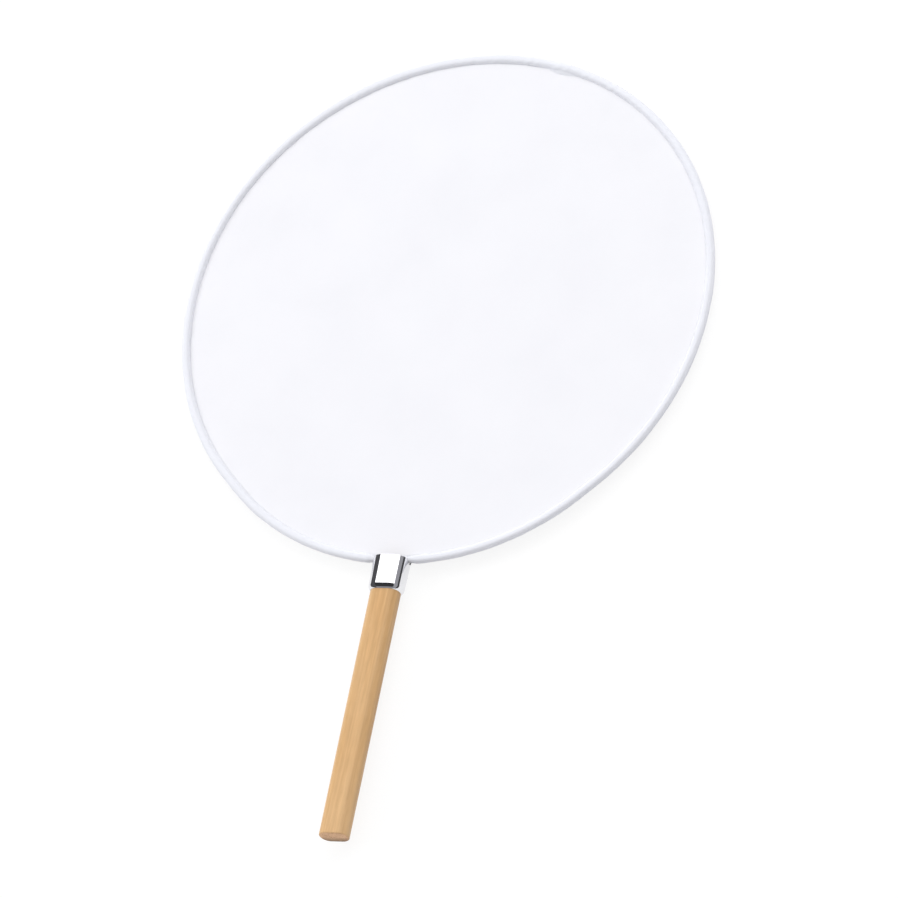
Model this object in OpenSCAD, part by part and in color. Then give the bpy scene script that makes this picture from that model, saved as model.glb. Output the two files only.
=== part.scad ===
// Round hand fan: a fabric disc on a sprung wire hoop, held by a ferrule on an oblong bamboo handle.
// The fan lies flat with its handle along Y. The origin is the centre of the handle's butt end.

/* [Rim] */
// Outer diameter of the round rim, over its binding
rim_d = 245; // [180:1:320]
// How much smaller the rim's radius is beside the handle
neck_step = 7.5; // [1:0.5:15]

/* [Binding] */
// Thickness of the binding, from face to face of the fan
bind_t = 3.2; // [2.8:0.1:5]
// How much wider than thick the binding is, across the rim
bind_flat = 0.6; // [0.2:0.1:6]
// Thickness that the tape's turned-under end adds where it laps over its start
lap_t = 0.35; // [0.2:0.05:0.8]
// How much of that thickness shows outside the rim's edge
lap_out = 0.07; // [0.02:0.01:0.15]
// Length of the lap along the rim
lap_l = 11; // [5:1:25]
// Angle of the lap from the point opposite the handle, clockwise from the front
lap_angle = 15; // [0:5:90]

/* [Panel] */
// Thickness of the fabric
panel_t = 0.25; // [0.1:0.05:0.6]

/* [Hoop wire] */
// Diameter of the wire
wire_d = 1.6; // [1.2:0.1:2]
// Inner radius of the bend at the top of each tang
bend_in_r = 2.2; // [1.6:0.1:3]
// Length of the straight tangs below the bends
tang_l = 22; // [14:1:40]

/* [Tang sleeve] */
// Length of the crimped sleeve
sleeve_l = 10; // [5:1:12]
// Wall of the crimped sleeve
sleeve_wall = 0.45; // [0.3:0.05:0.6]
// Height of the sleeve above the tangs' lower ends
sleeve_lift = 1.5; // [0.5:0.5:2]

/* [Handle] */
// Length of the handle, from its butt end to the rim's seat
handle_l = 128.9; // [90:0.1:200]
// Width of the handle
handle_w = 13.4; // [11:0.2:24]
// Thickness of the handle
handle_t = 9; // [7:0.2:16]
// Largest radius of the handle's long corners
handle_r = 4.2; // [2:0.1:6]
// Rounding of the butt end's edge
butt_r = 0.7; // [0.3:0.1:1.5]
// Glue between the sleeve and the wall of the handle's bore
glue_room = 0.25; // [0.1:0.05:0.5]
// Depth of the bore below the ends of the tangs
bore_spare = 2; // [1:0.5:5]

/* [Ferrule] */
// Length of the ferrule
ferrule_l = 15.5; // [12:0.1:30]
// Thickness of the ferrule's metal
ferrule_wall = 0.7; // [0.4:0.05:1]
// How far it stands out from the handle above its lower lip
ferrule_stand = 1.2; // [1.1:0.05:1.6]
// Outer radius of that lip, which curls in to the handle
lip_r = 2.4; // [1.7:0.1:3]
// How much further out each wall stands at its upper end than above the lip
ferrule_flare = 0.3; // [0:0.05:0.8]
// Broken edges at the upper end
ferrule_break = 0.15; // [0.05:0.05:0.2]
// How far the ferrule reaches up past the rim's lowest point
ferrule_lap = 1.9; // [1:0.1:3]
// Free room between the binding and each side of its notch
notch_gap = 0.6; // [0.3:0.1:1]

/* [Fits] */
// Gap between hard pieces that are glued or crimped together
fit_gap = 0.05; // [0.02:0.01:0.15]
// Gap between the binding and the wood or metal that it rests on
soft_gap = 0.3; // [0.2:0.05:0.4]
// Gap that the binding leaves round the wire, and round the panel's edge
cloth_gap = 0.1; // [0.05:0.05:0.2]

/* [Hidden] */
$fn = 96;
// Overshoot of a cut beyond the face that it opens
over = 1;
// Least flat between two rounded corners of the handle
least_flat = 0.3;
// Most that the wire's straight runs may leave its true curve
wire_sag = 0.05;

// The rim is round down to 45 degrees each side of the handle. There a straight run, as long as the step
// in radius, leads to a tighter arc, which draws the rim out a little towards the handle.
turn = 45;
rim_r = rim_d / 2;
neck_r = rim_r - neck_step;
rim_low = handle_l + soft_gap;
neck_centre = rim_low + neck_r;
rim_centre = neck_centre + neck_step * sqrt(2);

// The binding's section is a bead round the wire, drawn out towards the panel. It is measured inward
// from the rim's outer edge.
bead_r = bind_t / 2;
wire_r = wire_d / 2;
wire_in = bead_r;
channel_r = wire_r + cloth_gap;
opening_r = channel_r + cloth_gap;
panel_in = wire_in + wire_r + cloth_gap;
slit_t = panel_t + cloth_gap;

// Each end of the wire leaves the neck's arc in a bend that turns it down beside the other
tang_x = wire_r + fit_gap / 2;
bend_r = bend_in_r + wire_r;
bend_x = tang_x + bend_r;
arc_r = neck_r - wire_in;
bend_angle = asin(bend_x / (arc_r + bend_r));
bend_y = neck_centre - (arc_r + bend_r) * cos(bend_angle);
tang_end = bend_y - tang_l;
sleeve_in_r = wire_r + fit_gap;
sleeve_r = sleeve_in_r + sleeve_wall;
sleeve_y = tang_end + sleeve_lift;

// The handle's bore takes the sleeve and, at its mouth, the bends of the wire
bore_r = tang_x + sleeve_r + glue_room;
bore_end = tang_end - bore_spare;

// The handle's long corners keep a flat between them
corner_r = min(handle_r, (min(handle_w, handle_t) - least_flat) / 2);

// The ferrule fits the handle, and its notches straddle the rim where it passes the narrow sides
ferrule_in = corner_r + fit_gap;
ferrule_w = handle_w + 2 * (fit_gap + ferrule_stand);
lip_l = sqrt(lip_r * lip_r - (lip_r - ferrule_stand) * (lip_r - ferrule_stand));
ferrule_low = rim_low + ferrule_lap - ferrule_l;
notch_r = bead_r + notch_gap;
rim_rise = neck_r - sqrt(neck_r * neck_r - ferrule_w * ferrule_w / 4);
notch_y = rim_low + rim_rise - soft_gap + notch_r;

// Places what follows at the rim's centre, turned so that the round part of the rim starts at its X axis
module rim_frame() {
  translate([0, rim_centre]) rotate(-turn) children();
}

// Carries a section round the rim. In the section x runs outward from the rim's edge, and y is up.
module round_rim() {
  rim_frame() {
    rotate_extrude(angle = 270) translate([rim_r, 0]) children();
    for (side = [0, 1]) mirror([side, side]) {
      translate([rim_r, 0]) rotate([90, 0, 0]) linear_extrude(neck_step) children();
      translate([neck_step, -neck_step])
        rotate_extrude(angle = turn, start = -turn) translate([neck_r, 0]) children();
    }
  }
}

// Carries a section round an oblong of width w and thickness t. In the section x runs outward from the
// centre of the rounded corner, whose radius is r, and y is up.
module round_oblong(w, t, r) {
  for (sx = [0, 1], sy = [0, 1]) mirror([sx, 0]) mirror([0, sy]) translate([w / 2 - r, t / 2 - r]) {
    rotate_extrude(angle = 90) children();
    rotate([90, 0, 0]) linear_extrude(t / 2 - r) children();
    rotate([90, 0, -90]) mirror([1, 0]) linear_extrude(w / 2 - r) children();
  }
}

// Stands a piece that is drawn upright along the handle, at a distance from the butt end
module along_handle(y) {
  translate([0, y, 0]) rotate([-90, 0, 0]) children();
}

// Outline of the two tangs side by side, grown from their own radius to r
module tang_pair(r) {
  for (side = [-1, 1]) translate([side * tang_x, 0]) circle(r);
  square([2 * tang_x, 2 * r], center = true);
}

module fabric_panel() {
  color("white") {
    round_rim() translate([-neck_r, -panel_t / 2]) square([neck_r - panel_in, panel_t]);
    translate([0, rim_centre]) linear_extrude(panel_t, center = true) circle(rim_r / 2);
  }
}

// Section of the binding, thicker by a layer where the tape laps
module bead(layer = 0) {
  difference() {
    translate([layer > 0 ? lap_out - layer : 0, 0]) {
      for (x = [-bead_r, -bead_r - bind_flat]) translate([x, 0]) circle(bead_r + layer);
      translate([-bead_r - bind_flat, -bead_r - layer]) square([bind_flat, bind_t + 2 * layer]);
    }
    translate([-wire_in, 0]) circle(channel_r);
    reach = bind_t + bind_flat + 2 * layer;
    translate([-reach, -slit_t / 2]) square([reach - wire_in, slit_t]);
  }
}

module rim_binding() {
  lap = lap_l / rim_r * 180 / PI;
  color("whitesmoke") difference() {
    union() {
      round_rim() bead();
      rim_frame() rotate_extrude(angle = lap, start = turn + 90 - lap_angle - lap / 2)
        translate([rim_r, 0]) bead(lap_t);
    }
    // The wire's two ends come out through an opening at the neck
    along_handle(rim_low - over) linear_extrude(over + wire_in) {
      for (side = [-1, 1]) translate([side * (bend_x - channel_r), 0]) circle(opening_r);
      square([2 * (bend_x - channel_r), 2 * opening_r], center = true);
    }
  }
}

// Points of an arc about a centre, from angle a to angle b, without the first point
function arc(centre, r, a, b) =
  let (steps = ceil(abs(b - a) / (2 * acos(1 - wire_sag / r))))
  [for (i = [1 : steps]) let (q = a + (b - a) * i / steps) centre + r * [cos(q), sin(q)]];

// The wire's centre line: up a tang, round its bend and the neck, and round to the top of the rim
half_line = concat(
  [[tang_x, tang_end], [tang_x, bend_y]],
  arc([bend_x, bend_y], bend_r, 180, 90 + bend_angle),
  arc([0, neck_centre], arc_r, -90 + bend_angle, -turn),
  [[0, rim_centre] + (rim_r - wire_in) * [cos(turn), -sin(turn)]],
  arc([0, rim_centre], rim_r - wire_in, -turn, 90));
top_point = len(half_line) - 1;
wire_line = concat(half_line, [for (i = [top_point - 1 : -1 : 0]) [-half_line[i].x, half_line[i].y]]);

module hoop_wire() {
  sides = 10;
  last = len(wire_line) - 1;
  points = [for (i = [0 : last])
    let (way = wire_line[min(i + 1, last)] - wire_line[max(i - 1, 0)], out = [way.y, -way.x] / norm(way))
    for (k = [0 : sides - 1])
      let (q = 360 * k / sides, p = wire_line[i] + wire_r * cos(q) * out) [p.x, p.y, wire_r * sin(q)]];
  skin = [for (i = [0 : last - 1], k = [0 : sides - 1])
    let (a = i * sides + k, b = i * sides + (k + 1) % sides) [a, b, b + sides, a + sides]];
  start_face = [for (k = [sides - 1 : -1 : 0]) k];
  end_face = [for (k = [0 : sides - 1]) last * sides + k];
  color("darkgray") polyhedron(points, concat(skin, [start_face, end_face]));
}

module tang_sleeve() {
  color("gray") along_handle(sleeve_y) linear_extrude(sleeve_l) difference() {
    tang_pair(sleeve_r);
    tang_pair(sleeve_in_r);
  }
}

// Section of the ferrule's wall: a lip that curls out from the handle, and a wall that leans out above it
module ferrule_section() {
  outer = ferrule_in + ferrule_stand;
  inner = outer - ferrule_wall;
  difference() {
    translate([outer - lip_r, lip_l]) circle(lip_r);
    translate([outer - lip_r, lip_l]) circle(lip_r - ferrule_wall);
    translate([outer - 3 * lip_r, -lip_r]) square([3 * lip_r - ferrule_stand, 3 * lip_r]);
    translate([0, lip_l]) square([outer + over, lip_r + over]);
  }
  top = ferrule_l - ferrule_break;
  polygon([[inner, lip_l], [outer, lip_l], [outer + ferrule_flare, top],
    [outer + ferrule_flare - ferrule_break, ferrule_l], [inner + ferrule_flare + ferrule_break, ferrule_l],
    [inner + ferrule_flare, top]]);
}

module ferrule() {
  across = ferrule_w + 2 * (ferrule_flare + over);
  color("silver") along_handle(ferrule_low) difference() {
    round_oblong(handle_w, handle_t, corner_r) ferrule_section();
    translate([0, 0, notch_y - ferrule_low]) {
      rotate([0, 90, 0]) cylinder(r = notch_r, h = across, center = true);
      translate([0, 0, ferrule_l / 2]) cube([across, 2 * notch_r, ferrule_l], center = true);
    }
  }
}

module handle() {
  color("burlywood") along_handle(0) difference() {
    union() {
      round_oblong(handle_w, handle_t, corner_r) {
        translate([0, butt_r]) square([corner_r, handle_l - butt_r]);
        square([corner_r - butt_r, butt_r]);
        translate([corner_r - butt_r, butt_r]) circle(butt_r);
      }
      translate([0, 0, handle_l / 2])
        cube([handle_w - 2 * corner_r, handle_t - 2 * corner_r, handle_l], center = true);
    }
    translate([0, 0, bore_end]) cylinder(r = bore_r, h = handle_l);
  }
}

module glue_plug() {
  color("khaki") along_handle(bore_end) difference() {
    cylinder(r = bore_r, h = bend_y - bore_end);
    for (side = [-1, 1]) translate([side * tang_x, 0, tang_end - bore_end]) cylinder(r = wire_r, h = tang_l + over);
    translate([0, 0, sleeve_y - bore_end]) linear_extrude(sleeve_l) tang_pair(sleeve_r);
  }
}

fabric_panel();
rim_binding();
hoop_wire();
tang_sleeve();
ferrule();
handle();
glue_plug();
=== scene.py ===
"""Round hand fan: white cloth on a bound hoop, a chrome ferrule and a bamboo handle."""
import math

import bmesh
import bpy
import numpy as np
from mathutils import Matrix, Vector


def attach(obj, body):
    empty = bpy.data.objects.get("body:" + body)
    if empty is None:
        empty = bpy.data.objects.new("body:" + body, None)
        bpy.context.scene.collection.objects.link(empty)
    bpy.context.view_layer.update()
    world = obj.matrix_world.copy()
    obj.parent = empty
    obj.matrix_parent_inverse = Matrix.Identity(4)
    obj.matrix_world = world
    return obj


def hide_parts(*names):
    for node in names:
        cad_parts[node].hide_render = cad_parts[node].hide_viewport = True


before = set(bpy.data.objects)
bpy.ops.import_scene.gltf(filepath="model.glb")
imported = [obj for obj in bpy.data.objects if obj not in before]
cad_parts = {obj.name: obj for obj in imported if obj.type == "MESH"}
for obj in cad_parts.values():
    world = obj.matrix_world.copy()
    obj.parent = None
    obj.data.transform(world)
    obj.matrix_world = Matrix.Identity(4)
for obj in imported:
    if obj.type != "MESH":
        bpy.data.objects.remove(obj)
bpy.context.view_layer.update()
MM = 0.001

# The rim's outer edge, in mm: a round arc, a short straight run and a tighter arc at the neck
RIM_R = 122.5
NECK_R = 115.0
STEP = RIM_R - NECK_R
RIM_CENTRE = 254.8066
NECK_CENTRE = RIM_CENTRE - STEP * math.sqrt(2)
NECK_RUN = NECK_R * math.pi / 4
ROUND_RUN = RIM_R * 1.5 * math.pi
RIM_LENGTH = 2 * NECK_RUN + 2 * STEP + ROUND_RUN

# The binding's section, in mm: two half rounds with a flat between them. Its x is 0 at the rim's
# outer edge and falls inwards, and the inner round turns about FOOT_X.
BEAD_R = 1.6
BEAD_FLAT = 0.6
FOOT_X = -BEAD_R - BEAD_FLAT
# The wire's channel, and the slit that the cloth's edge sits in
WIRE_IN = 1.6
CHANNEL_R = 0.9
SLIT = 0.35
# Where the tape's end laps over its start: a thicker run, and a longer free end that reaches in
# over the cloth. Its middle is 120 degrees along the round arc, 75 degrees round from +X.
LAP_LENGTH = 11.0
LAP_THICK = 0.24
LAP_END_LENGTH = 21.0
LAP_REACH = 1.5
LAP_AT = NECK_RUN + STEP + RIM_R * math.radians(120)
# How much wider the hand-folded tape is here and there: degrees round the rim from +X, and mm
TAPE_WIDTH = ((-90, 0), (-40, -0.1), (0, -0.1), (20, -0.15), (40, -0.2), (60, -0.25), (80, 0.35),
              (100, 0.55), (120, 0.7), (140, 0.35), (160, 0.0), (180, -0.1), (200, -0.15),
              (225, -0.05), (270, 0))

# The cloth's edge inside the rim's outer edge, its thickness, and how far it leaves its plane
PANEL_IN = 2.5
PANEL_T = 0.25
SLACK = 0.22
PUCKER = 0.07
# The seam: its stitches' length, its height above the cloth's middle, and its thread
STITCH = 2.7
SEAM_RISE = 0.72
THREAD_R = 0.13

# The ferrule, in metres: its middle, its curled lip's top, and its notches' middle and radius
FERRULE_Y = 0.123
LIP_TOP = 0.118
NOTCH_Y = 0.131375
NOTCH_R = 0.0022
# Its section's corners turn about this x and z, with this radius midway through its wall
CORNER_X = 0.0025
CORNER_Z = 0.0003
WALL_R = 0.00528
# The handle's lowest and rightmost sides, in metres
HANDLE_LOW = -0.0045
HANDLE_RIGHT = 0.0067

# Where the fan touches the floor, as (y, z) in mm: the back of the ferrule's top edge, and the
# rim's far side
REST_BACK = (131.1, -6.05)
REST_FAR = (375.7, -1.6)


def rim(s):
    """Points on the rim's outer edge and the outward directions there, s mm from the neck."""
    s = np.asarray(s, float) % RIM_LENGTH
    half = np.minimum(s, RIM_LENGTH - s)
    side = np.where(s > RIM_LENGTH / 2, -1.0, 1.0)
    at_neck = half < NECK_RUN
    at_run = ~at_neck & (half < NECK_RUN + STEP)
    angle = np.where(at_neck, half / NECK_R - math.pi / 2,
                     np.where(at_run, -math.pi / 4,
                              (half - NECK_RUN - STEP) / RIM_R - math.pi / 4))
    out = np.stack([np.cos(angle), np.sin(angle)], -1)
    along = np.stack([-out[..., 1], out[..., 0]], -1)
    centre = np.where(at_neck | at_run, NECK_CENTRE, RIM_CENTRE)
    radius = np.where(at_neck | at_run, NECK_R, RIM_R)
    point = out * radius[..., None]
    point[..., 1] += centre
    point += along * np.where(at_run, half - NECK_RUN, 0.0)[..., None]
    point[..., 0] *= side
    out[..., 0] *= side
    return point, out


def smooth_step(x):
    """An S-shaped rise from 0 at 0 to 1 at 1."""
    x = np.clip(x, 0, 1)
    return x * x * (3 - 2 * x)


def waves(s, seed, longest, shortest):
    """A smooth random wave round the rim, from -1 to 1 or so, with these wavelengths in mm."""
    count = 24
    rng = np.random.default_rng(seed)
    turns = rng.integers(int(RIM_LENGTH / longest), int(RIM_LENGTH / shortest), count)
    phases = rng.uniform(0, 2 * math.pi, count)
    total = sum(np.sin(2 * math.pi * n * s / RIM_LENGTH + p) for n, p in zip(turns, phases))
    return total / math.sqrt(count)


def beyond_neck(s, gone=11.0, full=16.0):
    """0 up to gone mm from the neck along the rim and 1 from full mm on."""
    half = np.minimum(s, RIM_LENGTH - s)
    return smooth_step((half - gone) / (full - gone))


def turn_of(s):
    """Degrees round the rim from +X, from -90 at the neck."""
    at, _ = rim(s)
    turn = np.degrees(np.arctan2(at[..., 1] - RIM_CENTRE, at[..., 0]))
    return np.where(turn < -90, turn + 360, turn)


def flatness(s):
    """1 at the lower right, where the tape's foot is pressed flattest on the cloth, 0 opposite."""
    roundest = 130
    return 0.5 - 0.5 * np.cos(np.radians(turn_of(s) - roundest))


def extra_width(s):
    """How far the tape's inner side lies further in than its plain section, in mm."""
    degrees, widths = np.array(TAPE_WIDTH, float).T
    turn = turn_of(s)
    low = np.clip(np.searchsorted(degrees, turn, side="right") - 1, 0, len(degrees) - 2)
    share = smooth_step((turn - degrees[low]) / (degrees[low + 1] - degrees[low]))
    return widths[low] + (widths[low + 1] - widths[low]) * share


def inner_share(x):
    """0 on the tape's outer half and up to 1 at its inner foot, x mm from the rim's outer edge."""
    return np.clip((-x - BEAD_R) / (BEAD_R + BEAD_FLAT), 0, 1)


def add(name, points, faces, smooth=True):
    """A new mesh object from points in mm."""
    mesh = bpy.data.meshes.new(name)
    mesh.from_pydata((np.asarray(points) * MM).tolist(), [], faces)
    mesh.validate()
    obj = bpy.data.objects.new(name, mesh)
    bpy.context.scene.collection.objects.link(obj)
    if smooth:
        mesh.shade_smooth()
    return obj


def tube_faces(rows, columns, base=0, closed_rows=True):
    """Quads between rows of a closed loop of columns points."""
    faces = []
    for i in range(rows if closed_rows else rows - 1):
        j = (i + 1) % rows
        for k in range(columns):
            m = (k + 1) % columns
            faces.append((base + i * columns + k, base + i * columns + m,
                          base + j * columns + m, base + j * columns + k))
    return faces


def make_panel():
    """The cloth disc: two skins with an edge, a little slack in the middle, puckers at the edge."""
    spokes, rings = 320, 44
    s = np.arange(spokes) * RIM_LENGTH / spokes
    edge, out = rim(s)
    edge = edge - out * PANEL_IN
    middle = np.array([0.0, 252.0])
    # The rings lie closer together towards the edge
    share = np.linspace(0, 1, rings + 1)[1:] ** 0.8
    pucker = waves(s, 5, 14, 6) * PUCKER * beyond_neck(s, 14, 26)
    front, back = [], []
    for skin, height in ((front, PANEL_T / 2), (back, -PANEL_T / 2)):
        skin.append((*middle, height))
        for f in share:
            at = middle + (edge - middle) * f
            gap = (1 - f) * np.linalg.norm(edge - middle, axis=1)
            slack = np.sin(at[:, 0] / 41 + 0.6) * np.sin(at[:, 1] / 53 + 1.1)
            slack = slack + 0.5 * np.sin(at[:, 0] / 23 - at[:, 1] / 31)
            z = height + SLACK * slack * smooth_step(gap / 60)
            z = z + pucker * smooth_step((gap - 0.4) / 1.5) * np.exp(-gap / 5)
            skin.extend(zip(at[:, 0], at[:, 1], z))
    points = front + back
    offset = len(front)
    faces = []
    for i in range(spokes):
        j = (i + 1) % spokes
        faces.append((0, 1 + i, 1 + j))
        faces.append((offset, offset + 1 + j, offset + 1 + i))
        for r in range(rings - 1):
            a, b = 1 + r * spokes, 1 + (r + 1) * spokes
            faces.append((a + i, b + i, b + j, a + j))
            faces.append((offset + a + j, offset + b + j, offset + b + i, offset + a + i))
        a = 1 + (rings - 1) * spokes
        faces.append((a + i, offset + a + i, offset + a + j, a + j))
    return add("panel_cloth", points, faces)


def bead_section():
    """The binding's outer skin and the walls of its channel, as (x, z) with x outwards."""
    quarter = math.pi / 2
    lip = math.asin(SLIT / 2 / BEAD_R)
    mouth = math.asin(SLIT / 2 / CHANNEL_R)
    outline = np.concatenate([arc(FOOT_X, BEAD_R, math.pi - lip, quarter, 13),
                              arc(-BEAD_R, BEAD_R, quarter, -quarter, 23),
                              arc(FOOT_X, BEAD_R, -quarter, lip - math.pi, 13)])
    return outline, arc(-WIRE_IN, CHANNEL_R, mouth - math.pi, math.pi - mouth, 21)


def arc(x, radius, start, end, count):
    """Points (x, z) of an arc about a point on the x axis."""
    return np.array([(x + radius * math.cos(a), radius * math.sin(a))
                     for a in np.linspace(start, end, count)])


def hem_spread(s, outline):
    """How far in the tape's edge, inside its seam, lies flatter on the cloth than a round would."""
    low = np.clip(1 - np.abs(outline[:, 1]) / SEAM_RISE, 0, 1)
    foot = smooth_step(low / 0.75) * (outline[:, 0] < FOOT_X)
    least, more = 0.10, 0.42
    return ((least + more * flatness(s)) * beyond_neck(s))[:, None] * foot[None, :]


def bead_moves(s, outline):
    """How far the tape stands out from its plain section, in mm, for each s and outline point."""
    height = outline[:, 1]
    inward = inner_share(outline[:, 0])
    # Diagonal puckers, as a tape cut on the slant makes round a curve
    slant = s[:, None] + 1.1 * height[None, :] - 1.6 * inward[None, :] * np.sign(height)[None, :]
    lift = 0.055 * waves(slant, 11, 9, 3.5) * (0.45 + 0.55 * inward[None, :])
    lift += 0.05 * waves(slant, 12, 60, 14)
    # The seam pulls the tape in along its foot, a little more at each stitch
    seam = np.exp(-((np.abs(height) - SEAM_RISE) / 0.26) ** 2) * (outline[:, 0] < FOOT_X)
    dimple = 0.5 + 0.5 * np.cos(2 * math.pi * s / stitch_pitch())
    lift -= seam[None, :] * (0.03 + 0.05 * dimple[:, None]) * (1.3 - 0.9 * flatness(s))[:, None]
    most = 0.2
    lift = np.clip(lift * beyond_neck(s)[:, None], -most, most)
    # It is pulled tighter on the wire where it goes through the ferrule's notches
    squeeze = 0.5
    lift -= squeeze * (1 - beyond_neck(s, 8.3, 11.9))[:, None]
    # The tape's end laps over its start, with a fold that rises faster than it falls
    along, rise, fall = s - LAP_AT, 2.4, 3.2
    fold = smooth_step((along + LAP_LENGTH / 2) / rise)
    fold = fold * smooth_step((LAP_LENGTH / 2 - along) / fall)
    return lift + (fold * LAP_THICK)[:, None] * (0.75 + 0.55 * inward[None, :])


def stitch_pitch():
    """The stitches' length, made to fit the rim's a whole number of times."""
    return RIM_LENGTH / round(RIM_LENGTH / STITCH)


def make_binding():
    """The tape folded round the wire: a soft tube with a slit that holds the cloth's edge."""
    steps = 1240
    # The rows lie to both sides of the neck's middle, not on it
    s = (np.arange(steps) + 0.5) * RIM_LENGTH / steps
    at, out = rim(s)
    outline, hidden = bead_section()
    ahead = np.roll(outline, -1, 0) - np.roll(outline, 1, 0)
    ahead[0] = outline[1] - outline[0]
    ahead[-1] = outline[-1] - outline[-2]
    normal = np.stack([-ahead[:, 1], ahead[:, 0]], 1)
    normal /= np.linalg.norm(normal, axis=1)[:, None]
    lift = bead_moves(s, outline)
    lift[:, [0, -1]] = 0
    soft = outline[None] + normal[None] * lift[..., None]
    soft[..., 0] -= extra_width(s)[:, None] * inner_share(outline[:, 0])[None]
    soft[..., 0] -= hem_spread(s, outline)
    section = np.concatenate([soft, np.repeat(hidden[None], steps, 0)], 1)
    flat = at[:, None, :] + out[:, None, :] * section[..., :1]
    points = np.concatenate([flat, section[..., 1:]], -1).reshape(-1, 3)
    columns = section.shape[1]
    obj = add("binding_tape", points, tube_faces(steps, columns))
    girth = np.concatenate([[0], np.cumsum(np.linalg.norm(np.diff(outline, axis=0), axis=1))])
    girth = np.concatenate([girth, np.linspace(girth[-1], 0, len(hidden) + 1)[1:]])
    add_run_uv(obj, s, girth, columns)
    cut_opening(obj)
    return obj


def add_run_uv(obj, s, girth, columns):
    """A map with u along the rim and v round the tape, both in metres."""
    uv = obj.data.uv_layers.new(name="run")
    for face in obj.data.polygons:
        for loop in face.loop_indices:
            row, column = divmod(obj.data.loops[loop].vertex_index, columns)
            u = s[row]
            if u < 1 and face.index >= (len(s) - 1) * columns:
                u += RIM_LENGTH
            uv.data[loop].uv = (u * MM, girth[column] * MM)


def cut_opening(obj):
    """Opens the tape's outer side at the neck, where the wire's two ends come out."""
    half_width, half_height = 3.9, 1.0
    ring = [(half_width - half_height + half_height * math.cos(a), half_height * math.sin(a))
            for a in np.linspace(-math.pi / 2, math.pi / 2, 13)]
    ring += [(-x, -z) for x, z in ring]
    low, high = 128.0, 130.75
    points = [(x, low, z) for x, z in ring] + [(x, high, z) for x, z in ring]
    count = len(ring)
    faces = [tuple(range(count)), tuple(range(2 * count - 1, count - 1, -1))]
    for i in range(count):
        j = (i + 1) % count
        faces.append((j, i, count + i, count + j))
    cutter = add("cutter", points, faces, smooth=False)
    bm = bmesh.new()
    bm.from_mesh(cutter.data)
    bmesh.ops.recalc_face_normals(bm, faces=bm.faces)
    bm.to_mesh(cutter.data)
    bm.free()
    cut = obj.modifiers.new("opening", "BOOLEAN")
    cut.operation, cut.object, cut.solver = "DIFFERENCE", cutter, "EXACT"
    graph = bpy.context.evaluated_depsgraph_get()
    done = bpy.data.meshes.new_from_object(obj.evaluated_get(graph))
    obj.modifiers.clear()
    obj.data = done
    done.name = obj.name
    bpy.data.objects.remove(cutter)


def make_lap_end():
    """The end of the tape, which spreads a little way in over the cloth where it laps."""
    along = np.linspace(0, 1, 65)
    across = np.linspace(0, 1, 15)
    run = LAP_AT + (along - 0.5) * LAP_END_LENGTH
    at, out = rim(run)
    extra = extra_width(run)
    peak = 0.42
    reach = smooth_step(along / peak) * smooth_step((1 - along) / (1 - peak))
    # In mm: where it leaves the bead, its plain foot, its room over the bead, and the heights of
    # its underside and of its edge, at the foot and spread out
    start, foot, over_bead, under_z, foot_z, edge_z = FOOT_X - 0.2, -3.72, 0.04, 0.16, 0.22, 0.3
    top, under = [], []
    for i in range(len(along)):
        for w in across:
            x = start + (foot - LAP_REACH * reach[i] - start) * w
            bead = math.sqrt(max(BEAD_R ** 2 - (x - FOOT_X) ** 2, 0.0))
            slope = edge_z + BEAD_R * (1 - w) ** 1.2
            z = max(bead + over_bead, foot_z) * (1 - reach[i]) + slope * reach[i]
            spot = at[i] + out[i] * (x - extra[i] * inner_share(x))
            top.append((*spot, z))
            under.append((*spot, under_z))
    rows, columns = len(along), len(across)
    count = rows * columns
    faces = []
    for i in range(rows - 1):
        for k in range(columns - 1):
            a, b = i * columns + k, (i + 1) * columns + k
            faces.append((a, a + 1, b + 1, b))
            faces.append((count + b, count + b + 1, count + a + 1, count + a))
    edge = list(range(columns)) + [i * columns + columns - 1 for i in range(1, rows)]
    edge += [count - 1 - k for k in range(1, columns)]
    edge += [i * columns for i in range(rows - 2, 0, -1)]
    for a, b in zip(edge, edge[1:] + edge[:1]):
        faces.append((b, a, count + a, count + b))
    obj = add("tape_end", top + under, faces)
    obj.data.set_sharp_from_angle(angle=math.radians(50))
    return obj


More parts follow.
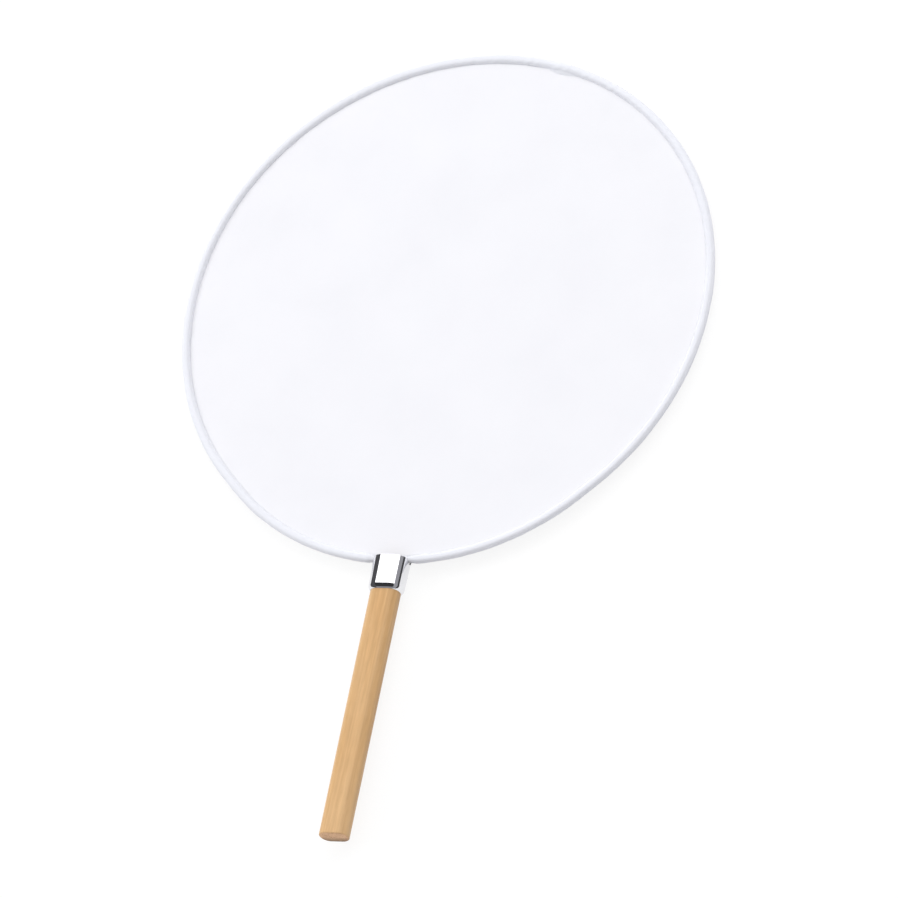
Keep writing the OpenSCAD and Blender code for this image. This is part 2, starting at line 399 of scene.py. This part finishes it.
def make_stitches():
    """The seam's thread on both faces: short arched dashes that dive into the tape at each end."""
    pitch = stitch_pitch()
    count = round(RIM_LENGTH / pitch)
    sides, rows = 7, 9
    foot = np.array([FOOT_X - math.sqrt(BEAD_R ** 2 - SEAM_RISE ** 2), SEAM_RISE])
    normal = (foot - (FOOT_X, 0)) / BEAD_R
    slope = np.array([-normal[1], normal[0]])
    rng = np.random.default_rng(3)
    # No stitch shows under the tape's end, but for 1.5 mm at either side of it
    covered = LAP_END_LENGTH / 2 - 1.5
    u = np.linspace(-1, 1, rows)
    height = -0.02 - 0.20 * u ** 4
    radius = THREAD_R * (1 - 0.25 * u ** 4)
    points, faces = [], []
    for face in (1, -1):
        for i in range(count):
            centre = (i + 0.5) * pitch
            if abs(centre - LAP_AT) < covered or beyond_neck(centre) < 0.999:
                continue
            length = 2.05 + rng.uniform(-0.12, 0.12)
            drift = rng.uniform(-0.05, 0.05)
            run = centre + u * length / 2
            at, out = rim(run)
            inwards = extra_width(run) * inner_share(foot[0])
            base = len(points)
            for row in range(rows):
                for a in np.arange(sides) * 2 * math.pi / sides:
                    offset = normal * (height[row] + radius[row] * math.sin(a))
                    offset = offset + slope * (drift + radius[row] * math.cos(a))
                    x, z = foot + offset
                    p = at[row] + out[row] * (x - inwards[row])
                    points.append((p[0], p[1], face * z))
            ring = tube_faces(rows, sides, base, closed_rows=False)
            caps = [tuple(range(base, base + sides)),
                    tuple(range(base + rows * sides - 1, base + (rows - 1) * sides - 1, -1))]
            if face > 0:
                ring = [f[::-1] for f in ring]
                caps = [f[::-1] for f in caps]
            faces += ring + caps
    return add("seam_thread", points, faces)


# Materials, with lengths in metres


def new_material(name, **shader):
    """A material with its main shader's own sockets set."""
    made = bpy.data.materials.new(name)
    made.use_nodes = True
    bsdf = made.node_tree.nodes["Principled BSDF"]
    for socket, value in shader.items():
        bsdf.inputs[socket.replace("_", " ")].default_value = value
    return made, made.node_tree, bsdf


def put(tree, kind, inputs=None, **settings):
    """A node, with its inputs set or linked by name or number."""
    made = tree.nodes.new("ShaderNode" + kind)
    for key, value in settings.items():
        setattr(made, key, value)
    for key, value in (inputs or {}).items():
        if isinstance(value, bpy.types.NodeSocket):
            tree.links.new(value, made.inputs[key])
        else:
            made.inputs[key].default_value = value
    return made


def maths(tree, operation, a, b=0.0):
    """The result of one operation on one value or two."""
    return put(tree, "Math", {0: a, 1: b}, operation=operation).outputs[0]


def noise(tree, vector, scale, detail, roughness=0.5):
    """Noise with its own number of cells to the metre along each axis."""
    mapped = put(tree, "Mapping", {"Vector": vector, "Scale": scale}).outputs[0]
    return put(tree, "TexNoise", {"Vector": mapped, "Scale": 1.0, "Detail": detail,
                                  "Roughness": roughness}).outputs["Fac"]


def spread(tree, value, low, high, at=(0.3, 0.7)):
    """A value moved from the range at to the range low to high."""
    return put(tree, "MapRange", {"Value": value, 1: at[0], 2: at[1], 3: low, 4: high}).outputs[0]


def ramp(tree, value, stops):
    """A colour that runs through stops, each a place and a colour."""
    made = put(tree, "ValToRGB", {"Fac": value})
    band = made.color_ramp
    while len(band.elements) < len(stops):
        band.elements.new(0.5)
    for element, (place, colour) in zip(band.elements, stops):
        element.position, element.color = place, (*colour, 1)
    return made.outputs[0]


def mix(tree, factor, a, b, blend="MIX"):
    """Colour a where the factor is 0 and b where it is 1."""
    made = put(tree, "Mix", data_type="RGBA", blend_type=blend)
    for socket, value in ((made.inputs[0], factor), (made.inputs[6], a), (made.inputs[7], b)):
        if isinstance(value, bpy.types.NodeSocket):
            tree.links.new(value, socket)
        else:
            socket.default_value = value if socket == made.inputs[0] else (*value, 1)
    return made.outputs[2]


def times(tree, a, b):
    """Two colours multiplied."""
    return mix(tree, 1.0, a, b, "MULTIPLY")


def grey(tree, value):
    """The grey of a value."""
    return put(tree, "CombineColor", {0: value, 1: value, 2: value}).outputs[0]


def bump(tree, bsdf, height, depth):
    """Makes heights from 0 to 1 into relief as deep as depth."""
    made = put(tree, "Bump", {"Height": height, "Distance": depth, "Strength": 1.0})
    tree.links.new(made.outputs[0], bsdf.inputs["Normal"])


def weave(tree, vector, pitch, slant):
    """Heights of a plain weave, from 0 to 1, with its threads a pitch apart."""
    turned = put(tree, "Mapping", {"Vector": vector, "Rotation": (0, 0, slant),
                                   "Scale": (math.pi / pitch,) * 3}).outputs[0]
    axes = put(tree, "SeparateXYZ", {0: turned})
    warp = maths(tree, "SINE", axes.outputs[0])
    weft = maths(tree, "SINE", axes.outputs[1])
    crossed = maths(tree, "MULTIPLY", warp, weft)
    return maths(tree, "ADD", maths(tree, "MULTIPLY", crossed, 0.5), 0.5)


def cloth_material(name, colour, pitch, slant, use_uv, depth):
    """Matt woven cloth: threads, uneven yarn and a little change of tone."""
    made, tree, bsdf = new_material(name, Sheen_Weight=0.12, Sheen_Roughness=0.5,
                                    Specular_IOR_Level=0.25)
    coords = put(tree, "TexCoord").outputs["UV" if use_uv else "Object"]
    threads = weave(tree, coords, pitch, slant)
    slubs = noise(tree, coords, (420, 2600, 420), 2)
    tone = noise(tree, coords, (28, 28, 28), 3)
    paler = tuple(min(1.0, c * 1.012) for c in colour)
    deeper = tuple(c * 0.985 for c in colour)
    plain = ramp(tree, tone, [(0.3, deeper), (0.7, paler)])
    uneven = maths(tree, "MULTIPLY", slubs, 0.6)
    relief = maths(tree, "ADD", maths(tree, "MULTIPLY", threads, 0.7), uneven)
    shade = grey(tree, spread(tree, relief, 0.965, 1.0, (0.2, 1.0)))
    tree.links.new(times(tree, plain, shade), bsdf.inputs["Base Color"])
    tree.links.new(spread(tree, slubs, 0.78, 0.92), bsdf.inputs["Roughness"])
    bump(tree, bsdf, maths(tree, "ADD", threads, uneven), depth)
    return made


def thread_material():
    """Twisted white sewing thread."""
    made, tree, bsdf = new_material("sewing_thread", Sheen_Weight=0.1)
    coords = put(tree, "TexCoord").outputs["Object"]
    twist = noise(tree, coords, (5200, 5200, 5200), 2)
    tree.links.new(ramp(tree, twist, [(0.3, (0.84, 0.84, 0.87)), (0.7, (0.93, 0.93, 0.96))]),
                   bsdf.inputs["Base Color"])
    tree.links.new(spread(tree, twist, 0.5, 0.75), bsdf.inputs["Roughness"])
    bump(tree, bsdf, twist, 0.00006)
    return made


def chrome_material():
    """Polished plating with fine rub marks; inside and in the notches the metal is unplated,
    rougher and painted near black as shade.
    """
    made, tree, bsdf = new_material("polished_chrome", Metallic=1.0)
    coords = put(tree, "TexCoord").outputs["Object"]
    rubbed = noise(tree, coords, (2600, 160, 2600), 5, 0.6)
    cloudy = noise(tree, coords, (190, 190, 190), 3)
    plated = ramp(tree, cloudy, [(0.3, (0.80, 0.80, 0.825)), (0.7, (0.84, 0.84, 0.86))])
    axes = put(tree, "SeparateXYZ", {0: coords}).outputs
    unplated_and_shaded = maths(tree, "MAXIMUM", inside_ferrule(tree, axes), on_notch(tree, axes))
    # Painted shade: the inner walls and the notches' faces are made near black; their greater
    # roughness is the unplated metal's own
    tree.links.new(mix(tree, unplated_and_shaded, plated, (0.07, 0.07, 0.075)), bsdf.inputs["Base Color"])
    polish = spread(tree, maths(tree, "ADD", rubbed, cloudy), 0.035, 0.095, (0.7, 1.3))
    tree.links.new(maths(tree, "MAXIMUM", polish, maths(tree, "MULTIPLY", unplated_and_shaded, 0.4)),
                   bsdf.inputs["Roughness"])
    bump(tree, bsdf, rubbed, 0.0000012)
    return made


def inside_ferrule(tree, axes):
    """1 on the ferrule's inner walls above its curled lip, which no polisher reaches and which get
    painted shade.
    """
    beyond = [maths(tree, "MAXIMUM", maths(tree, "SUBTRACT", maths(tree, "ABSOLUTE", axis), corner))
              for axis, corner in ((axes[0], CORNER_X), (axes[2], CORNER_Z))]
    inner = spread(tree, hypotenuse(tree, *beyond), 1.0, 0.0, (WALL_R - 0.00005, WALL_R + 0.00005))
    above = spread(tree, axes[1], 0.0, 1.0, (LIP_TOP, LIP_TOP + 0.0006))
    return maths(tree, "MULTIPLY", inner, above)


def on_notch(tree, axes):
    """1 on the cut faces of the ferrule's notches, which are unplated metal and get painted shade.
    """
    below = maths(tree, "MINIMUM", maths(tree, "SUBTRACT", axes[1], NOTCH_Y))
    away = hypotenuse(tree, below, axes[2])
    return spread(tree, away, 1.0, 0.0, (NOTCH_R + 0.00004, NOTCH_R + 0.00012))


def hypotenuse(tree, a, b):
    """The root of the sum of two squares."""
    squares = maths(tree, "ADD", maths(tree, "POWER", a, 2.0), maths(tree, "POWER", b, 2.0))
    return maths(tree, "SQRT", squares)


def bamboo_material():
    """Sanded, varnished bamboo: fibres along the handle, and pores on its sawn end."""
    made, tree, bsdf = new_material("bamboo", Specular_IOR_Level=0.3, Coat_Weight=0.1,
                                    Coat_Roughness=0.25)
    coords = put(tree, "TexCoord").outputs["Object"]
    x, y, z = put(tree, "SeparateXYZ", {0: coords}).outputs
    fibre = noise(tree, coords, (1150, 14, 1150), 4, 0.6)
    fleck = noise(tree, coords, (1300, 110, 1300), 3, 0.55)
    at_end = spread(tree, y, 1.0, 0.0, (0.00010, 0.00045))
    long_side = bamboo_side(tree, coords, x, y, fibre, fleck)
    # Painted shade: the long sides darken along their bottom near the sawn end
    low = spread(tree, z, 0.50, 1.0, (HANDLE_LOW + 0.0003, HANDLE_LOW + 0.0027))
    painted_butt_shade = spread(tree, y, low, 1.0, (0.0003, 0.0022))
    long_side = times(tree, long_side, grey(tree, painted_butt_shade))
    tree.links.new(mix(tree, at_end, long_side, bamboo_end(tree, coords, z)),
                   bsdf.inputs["Base Color"])
    tree.links.new(maths(tree, "ADD", spread(tree, fibre, 0.46, 0.34),
                         maths(tree, "MULTIPLY", at_end, 0.3)), bsdf.inputs["Roughness"])
    bump(tree, bsdf, maths(tree, "ADD", fibre, maths(tree, "MULTIPLY", fleck, 0.4)), 0.00004)
    return made


def bamboo_side(tree, coords, x, y, fibre, fleck):
    """The colour of the handle's long sides."""
    broad = noise(tree, coords, (160, 24, 160), 3, 0.55)
    tone = ramp(tree, broad, [(0.28, (0.735, 0.433, 0.188)), (0.5, (0.785, 0.484, 0.226)),
                              (0.72, (0.810, 0.512, 0.252))])
    # Painted light: the wood's left side is made paler; it is also paler towards the end that is
    # held
    side = spread(tree, x, 1.0, 0.0, (-0.0066, -0.0028))
    held = spread(tree, y, 0.6, 0.0, (0.012, 0.042))
    tone = mix(tree, maths(tree, "MAXIMUM", side, held), tone, (0.880, 0.580, 0.306))
    cloud = spread(tree, noise(tree, coords, (420, 85, 420), 3), 0.93, 1.0)
    white = (1.0, 1.0, 1.0)
    streak = ramp(tree, fibre, [(0.32, (0.895, 0.865, 0.825)), (0.50, (0.950, 0.940, 0.925)),
                                (0.66, white)])
    dash = ramp(tree, fleck, [(0.40, (0.950, 0.935, 0.915)), (0.62, white)])
    # Painted shade: the wood darkens towards its right edge
    skin = spread(tree, x, 1.0, 0.86, (HANDLE_RIGHT - 0.0006, HANDLE_RIGHT))
    for layer in (grey(tree, cloud), streak, dash, grey(tree, skin)):
        tone = times(tree, tone, layer)
    return tone


def bamboo_end(tree, coords, z):
    """The colour of the handle's sawn end, with painted shade that darkens it towards its lower
    edge.
    """
    blotches = noise(tree, coords, (380, 380, 380), 3)
    sawn = ramp(tree, blotches, [(0.3, (0.755, 0.458, 0.262)), (0.7, (0.880, 0.556, 0.334))])
    pores = put(tree, "TexVoronoi", {"Vector": coords, "Scale": 1500.0}).outputs["Distance"]
    dots = ramp(tree, pores, [(0.16, (0.50, 0.42, 0.36)), (0.34, (1.0, 1.0, 1.0))])
    # Painted shade: the end darkens downwards from about its middle, and more along its lower edge
    end_shade_by_height = spread(tree, z, 0.30, 1.0, (HANDLE_LOW + 0.0001, 0.0006))
    edge = spread(tree, z, 0.6, 1.0, (HANDLE_LOW + 0.0003, HANDLE_LOW + 0.0015))
    for layer in (dots, grey(tree, maths(tree, "MULTIPLY", end_shade_by_height, edge))):
        sawn = times(tree, sawn, layer)
    return sawn


def steel_material(name, colour, grain, low, high):
    """Dull steel with drawn or pressed marks, and its roughness from low to high."""
    made, tree, bsdf = new_material(name, Metallic=1.0)
    coords = put(tree, "TexCoord").outputs["Object"]
    marks = noise(tree, coords, grain, 4, 0.6)
    tree.links.new(ramp(tree, marks, [(0.3, tuple(c * 0.86 for c in colour)), (0.7, colour)]),
                   bsdf.inputs["Base Color"])
    tree.links.new(spread(tree, marks, low, high), bsdf.inputs["Roughness"])
    bump(tree, bsdf, marks, 0.00002)
    return made


def glue_material():
    """Set glue with small bubbles."""
    made, tree, bsdf = new_material("set_glue")
    coords = put(tree, "TexCoord").outputs["Object"]
    bubbles = noise(tree, coords, (1600, 1600, 1600), 3)
    tree.links.new(ramp(tree, bubbles, [(0.3, (0.70, 0.60, 0.38)), (0.7, (0.82, 0.74, 0.52))]),
                   bsdf.inputs["Base Color"])
    tree.links.new(spread(tree, bubbles, 0.2, 0.45), bsdf.inputs["Roughness"])
    bump(tree, bsdf, bubbles, 0.00005)
    return made


def cover(obj, made):
    """Gives an object one material."""
    obj.data.materials.clear()
    obj.data.materials.append(made)


# Stage: floor, lights, cards that the chrome mirrors, and the camera


def new_surface(name, corners):
    """A four-cornered stage surface in metres, and the empty tree of its material."""
    mesh = bpy.data.meshes.new(name)
    mesh.from_pydata(corners, [], [(0, 1, 2, 3)])
    obj = bpy.data.objects.new(name, mesh)
    bpy.context.scene.collection.objects.link(obj)
    made = bpy.data.materials.new(name)
    made.use_nodes = True
    made.node_tree.nodes.clear()
    mesh.materials.append(made)
    return obj, made.node_tree


def make_floor():
    """The pale floor that the fan lies on, by the ferrule's back and the rim's far side."""
    rise = math.atan2(REST_FAR[1] - REST_BACK[1], REST_FAR[0] - REST_BACK[0])
    half = 3.0
    floor, tree = new_surface("floor", [(-half, -half, 0), (half, -half, 0), (half, half, 0),
                                        (-half, half, 0)])
    floor.rotation_euler = (rise, 0, 0)
    floor.location = (0, REST_BACK[0] * MM, REST_BACK[1] * MM)
    # Where it is seen, its own white drowns most of the shadows
    white, drowned = 1.08, 0.8
    lit = put(tree, "BsdfDiffuse", {"Color": (0.86, 0.86, 0.87, 1)}).outputs[0]
    glow = put(tree, "Emission", {"Color": (1, 1, 1, 1), "Strength": white}).outputs[0]
    seen = put(tree, "MixShader", {0: drowned, 1: lit, 2: glow}).outputs[0]
    ends = put(tree, "MixShader", {0: seen_directly(tree), 1: lit, 2: seen}).outputs[0]
    put(tree, "OutputMaterial", {0: ends})


def seen_directly(tree):
    """1 for the rays of the camera and of mirrors and glass."""
    path = put(tree, "LightPath").outputs
    rays = maths(tree, "MAXIMUM", path["Is Camera Ray"], path["Is Glossy Ray"])
    return maths(tree, "MAXIMUM", rays, path["Is Transmission Ray"])


def make_world(ambient):
    """A white room: plain soft light on the object, and white where it is seen."""
    world = bpy.data.worlds.new("room")
    bpy.context.scene.world = world
    world.use_nodes = True
    tree = world.node_tree
    tree.nodes.clear()
    strength = spread(tree, seen_directly(tree), ambient, 1.0, (0.0, 1.0))
    sky = put(tree, "Background", {"Color": (1, 1, 1, 1), "Strength": strength}).outputs[0]
    put(tree, "OutputWorld", {0: sky})


def make_softbox(name, low, high, height, radiance, mirrored=True):
    """A flat lamp overhead, between two corners given from the ferrule per metre of its height."""
    low, high = np.array(low) * height, np.array(high) * height
    lamp = bpy.data.lights.new(name, "AREA")
    lamp.shape = "RECTANGLE"
    lamp.size, lamp.size_y = high - low
    lamp.energy = radiance * math.pi * lamp.size * lamp.size_y
    obj = bpy.data.objects.new(name, lamp)
    middle = (low + high) / 2
    obj.location = (middle[0], middle[1] + FERRULE_Y, height)
    obj.visible_glossy = mirrored
    bpy.context.scene.collection.objects.link(obj)


def make_card(name, corners, shade):
    """A card that only mirrors see, to give the chrome its dark edges; y is 0 at the ferrule."""
    card, tree = new_surface(name, [(x, y + FERRULE_Y, z) for x, y, z in corners])
    colour = (shade, shade, shade * 1.06, 1)
    glow = put(tree, "Emission", {"Color": colour, "Strength": 1.0}).outputs[0]
    put(tree, "OutputMaterial", {0: glow})
    for kind in ("camera", "diffuse", "transmission", "volume_scatter", "shadow"):
        setattr(card, "visible_" + kind, False)


def make_camera():
    """The photograph's view, fitted to the rim and the handle."""
    focal_pixels, picture_width = 11565.5, 898
    at = (1.9468, -1.8610, 4.0913)
    back = Vector((0.389, -0.412, 0.824)).normalized()
    right = Vector((0.921, 0.187, -0.341))
    right = (right - back * right.dot(back)).normalized()
    up = back.cross(right)
    camera = bpy.data.cameras.new("camera")
    camera.sensor_width = 36.0
    camera.lens = focal_pixels / picture_width * camera.sensor_width
    camera.clip_end = 50.0
    obj = bpy.data.objects.new("camera", camera)
    place = Matrix((right, up, back)).transposed().to_4x4()
    place.translation = at
    obj.matrix_world = place
    bpy.context.scene.collection.objects.link(obj)
    bpy.context.scene.camera = obj


def dress_cad_nodes():
    """Materials on the CAD's own meshes, seen and hidden."""
    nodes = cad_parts
    cover(nodes["ferrule"], chrome_material())
    cover(nodes["handle"], bamboo_material())
    cover(nodes["hoop_wire"],
          steel_material("drawn_wire", (0.55, 0.56, 0.58), grain=(3000, 3000, 3000),
                         low=0.25, high=0.45))
    cover(nodes["tang_sleeve"],
          steel_material("crimped_sleeve", (0.60, 0.60, 0.62), grain=(2200, 400, 2200),
                         low=0.35, high=0.55))
    cover(nodes["glue_plug"], glue_material())


def main():
    """Builds the pieces, attaches them to the root body, hides the CAD nodes that they stand in
    for, dresses the other CAD nodes, and sets the stage.
    """
    bpy.context.scene.view_settings.view_transform = "Standard"
    make_camera()
    panel = make_panel()
    binding = make_binding()
    thread = make_stitches()
    tape_end = make_lap_end()
    for obj in (panel, binding, thread, tape_end):
        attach(obj, "root")
    white, tape_white = (0.943, 0.944, 0.991), (0.912, 0.924, 0.992)
    cover(panel, cloth_material("panel_weave", white, pitch=0.00032, slant=0.0,
                                use_uv=False, depth=0.00003))
    cover(binding, cloth_material("tape_weave", tape_white, pitch=0.00036, slant=math.pi / 4,
                                  use_uv=True, depth=0.00006))
    cover(tape_end, cloth_material("tape_end_weave", tape_white, pitch=0.00036, slant=0.5,
                                   use_uv=False, depth=0.00006))
    cover(thread, thread_material())
    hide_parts("fabric_panel")
    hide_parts("rim_binding")
    dress_cad_nodes()
    make_floor()
    make_world(ambient=0.567)
    make_softbox("softbox", (-0.76, 0.36), (0.81, 1.35), height=6.0, radiance=1.3)
    make_softbox("key", (-2.93, -0.36), (-1.13, 1.44), height=4.0, radiance=3.85, mirrored=False)
    make_softbox("fill", (-0.36, 1.13), (1.44, 2.93), height=4.0, radiance=1.63, mirrored=False)
    make_room()


def make_room():
    """The dim room that the chrome mirrors, open overhead where the softbox is."""
    side, front, back, lid, open_from = 0.6, -1.2, 1.8, 0.75, 0.27
    foot, top_gap = 0.2, 0.03
    make_card("left_card", upright(-side, front, back, 0, lid), 0.085)
    make_card("lid_card", [(-side, open_from, lid), (side, open_from, lid), (side, front, lid),
                           (-side, front, lid)], 0.04)
    make_card("front_card", [(-side, front, 0), (side, front, 0), (side, front, lid),
                             (-side, front, lid)], 0.28)
    make_card("right_card", upright(side, front, back, foot, lid - top_gap), 0.34)
    make_card("right_foot_card", upright(side, front, back, 0, foot), 0.06)


def upright(x, front, back, low, high):
    """The corners of a side wall."""
    return [(x, front, low), (x, back, low), (x, back, high), (x, front, high)]


def plain(box):
    """A box's corners as plain lists."""
    return [[float(v) for v in corner] for corner in box]


main()
